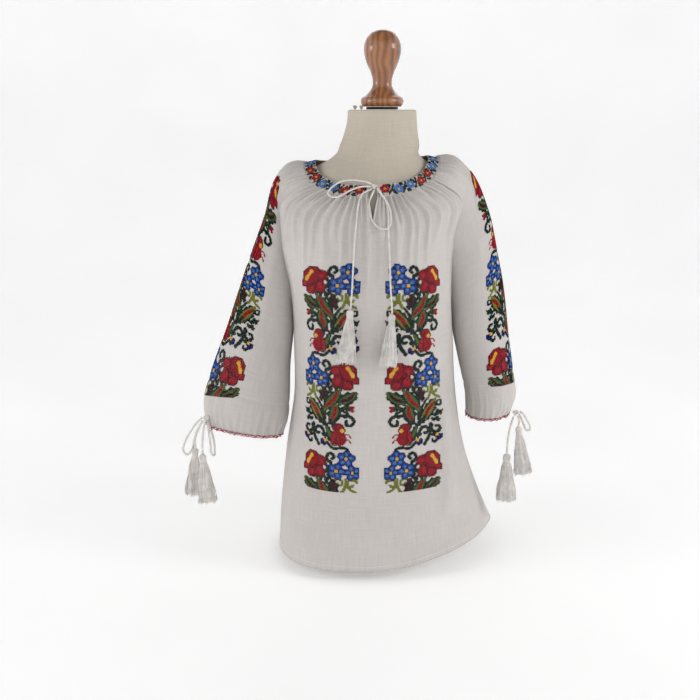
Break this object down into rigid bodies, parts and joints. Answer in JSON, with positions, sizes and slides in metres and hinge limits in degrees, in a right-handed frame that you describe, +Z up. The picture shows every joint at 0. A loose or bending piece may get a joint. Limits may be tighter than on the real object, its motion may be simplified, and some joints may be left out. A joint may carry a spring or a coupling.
{
  "type": "romanian ie blouse on a dress form",
  "caption": "White gathered Romanian folk blouse with raglan sleeves and cross-stitch flowers, tied at the neck and cuffs, worn by a limbless covered dress form with a turned knob.",
  "frame": {"origin": "centre of the dress form's flat base, on the surface that it stands on", "axes": "+Z up, -Y to the front, +X to the right of someone who looks at the front"},
  "size_m": [0.4471, 0.2139, 0.6546],
  "materials": {
    "cloth": "matte cotton, slightly wrinkled, with cross-stitch flowers",
    "edging_thread": "crimson buttonhole-stitched cotton thread",
    "cotton_cord": "twisted white cotton",
    "form_cover": "plain woven beige linen",
    "dark_felt": "matte felt",
    "varnished_wood": "glossy clear varnish over turned wood"
  },
  "bodies": {
    "root": {"front_panel": "cloth", "back_panel": "cloth", "sleeve_left": "cloth", "sleeve_right": "cloth", "neck_band": "cloth", "cuff_edging_left": "edging_thread", "cuff_edging_right": "edging_thread", "neck_bow_left": "cotton_cord", "neck_bow_right": "cotton_cord", "neck_cord_left": "cotton_cord", "neck_cord_right": "cotton_cord", "cuff_bow_left": "cotton_cord", "cuff_loop_left": "cotton_cord", "cuff_cord_left_a": "cotton_cord", "cuff_cord_left_b": "cotton_cord", "cuff_bow_right": "cotton_cord", "cuff_cord_right_a": "cotton_cord", "cuff_cord_right_b": "cotton_cord", "neck_knot": "cotton_cord", "cuff_knot_left": "cotton_cord", "cuff_knot_right": "cotton_cord", "neck_tassel_left": "cotton_cord", "neck_tassel_right": "cotton_cord", "cuff_tassel_left_a": "cotton_cord", "cuff_tassel_left_b": "cotton_cord", "cuff_tassel_right_a": "cotton_cord", "cuff_tassel_right_b": "cotton_cord", "cover_knot_a": "cotton_cord", "cover_knot_b": "cotton_cord", "form_torso": "form_cover", "neck_spacer": "dark_felt", "finial": "varnished_wood"}
  },
  "joints": []
}
